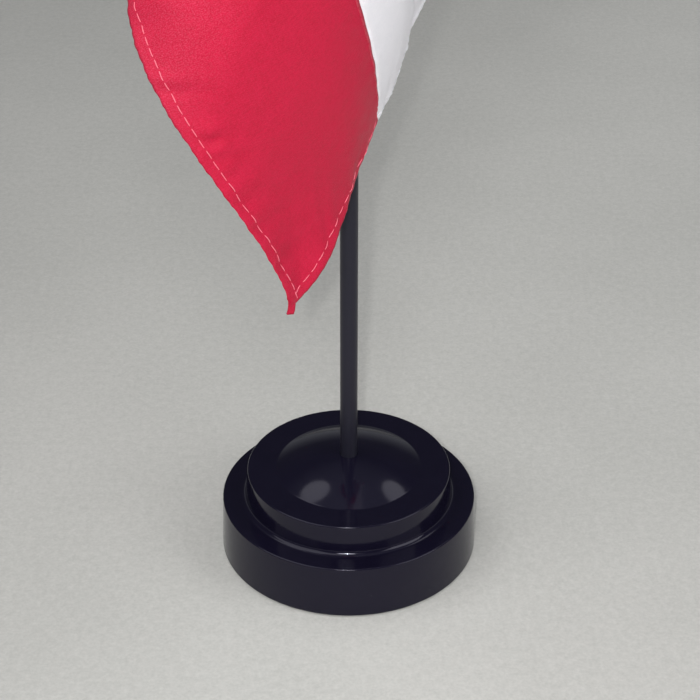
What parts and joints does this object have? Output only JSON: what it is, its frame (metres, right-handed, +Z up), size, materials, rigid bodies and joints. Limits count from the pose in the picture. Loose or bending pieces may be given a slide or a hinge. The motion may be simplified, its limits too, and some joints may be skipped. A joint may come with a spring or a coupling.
{
  "type": "desk flag stand",
  "caption": "Desk flag stand: weighted round two-tier base, slim pole with a spear tip, and a small draped flag of red and white bars on a hoist sleeve.",
  "frame": {"origin": "centre of the base's underside, on the pole's axis", "axes": "+Z up along the pole; the flag's free corner hangs towards -X and -Y"},
  "size_m": [0.0901, 0.1228, 0.3433],
  "materials": {
    "base_plastic": "polished injection-moulded black, slightly blue",
    "pad_foam": "fine foam",
    "ballast_steel": "plain",
    "pole_plastic": "satin black",
    "finial_gold": "metallised gold",
    "red_satin": "satin polyester",
    "white_satin": "satin polyester",
    "thread": "sewing thread"
  },
  "bodies": {
    "base": {"base_shell": "base_plastic", "base_pad": "pad_foam", "ballast_ring": "ballast_steel"},
    "staff": {"pole": "pole_plastic", "spear_finial": "finial_gold"},
    "flag": {"hoist_sleeve": "red_satin", "hoist_bar_red": "red_satin", "centre_bar_white": "white_satin", "fly_bar_red": "red_satin", "fly_hem_stitch": "thread", "bottom_hem_stitch": "thread", "top_hem_stitch": "thread", "sleeve_stitch": "thread", "hoist_seam_stitch": "thread", "fly_seam_stitch": "thread"}
  },
  "joints": [
    {"name": "pole_lift", "type": "slide", "parent": "base", "child": "staff", "axis": [0, 0, 1], "range_m": [0, 0.0215]},
    {"name": "flag_turn", "type": "hinge", "parent": "staff", "child": "flag", "pos_m": [0, 0, 0.236], "axis": [0, 0, 1], "continuous": true}
  ]
}
